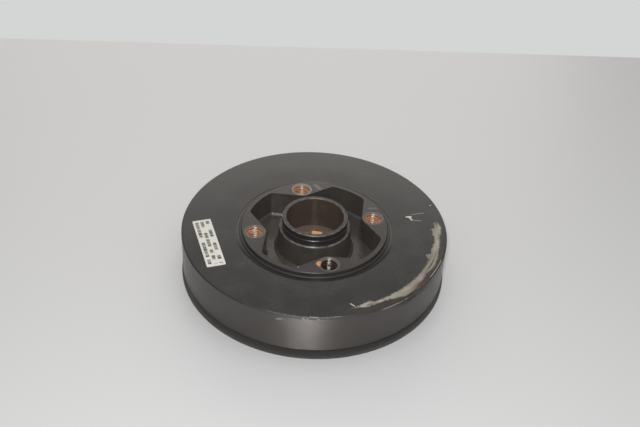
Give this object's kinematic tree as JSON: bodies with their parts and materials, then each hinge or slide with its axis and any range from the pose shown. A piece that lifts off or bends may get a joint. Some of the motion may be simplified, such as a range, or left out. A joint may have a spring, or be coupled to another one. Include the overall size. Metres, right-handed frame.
{
  "type": "crankshaft pulley",
  "caption": "Crankshaft pulley with a bonded rubber damper joint, a smooth rim above a belt groove, and a lobed hub with threaded holes round a nose tube.",
  "frame": {"origin": "on the pulley's axis, in the plane of the rear flange's face that it lies on", "axes": "+Z along the axis, out of the front; +X to the right in the picture, +Y away from the camera"},
  "size_m": [0.202, 0.202, 0.0479],
  "materials": {
    "ring_iron": "satin black paint over turned iron",
    "hub_iron": "thin black paint over turned iron, rusty in the threads",
    "rubber": "matt",
    "label_paper": "printed paper"
  },
  "bodies": {
    "root": {"inertia_ring": "ring_iron", "rubber_ring": "rubber", "hub": "hub_iron", "paper_label": "label_paper"}
  },
  "joints": []
}
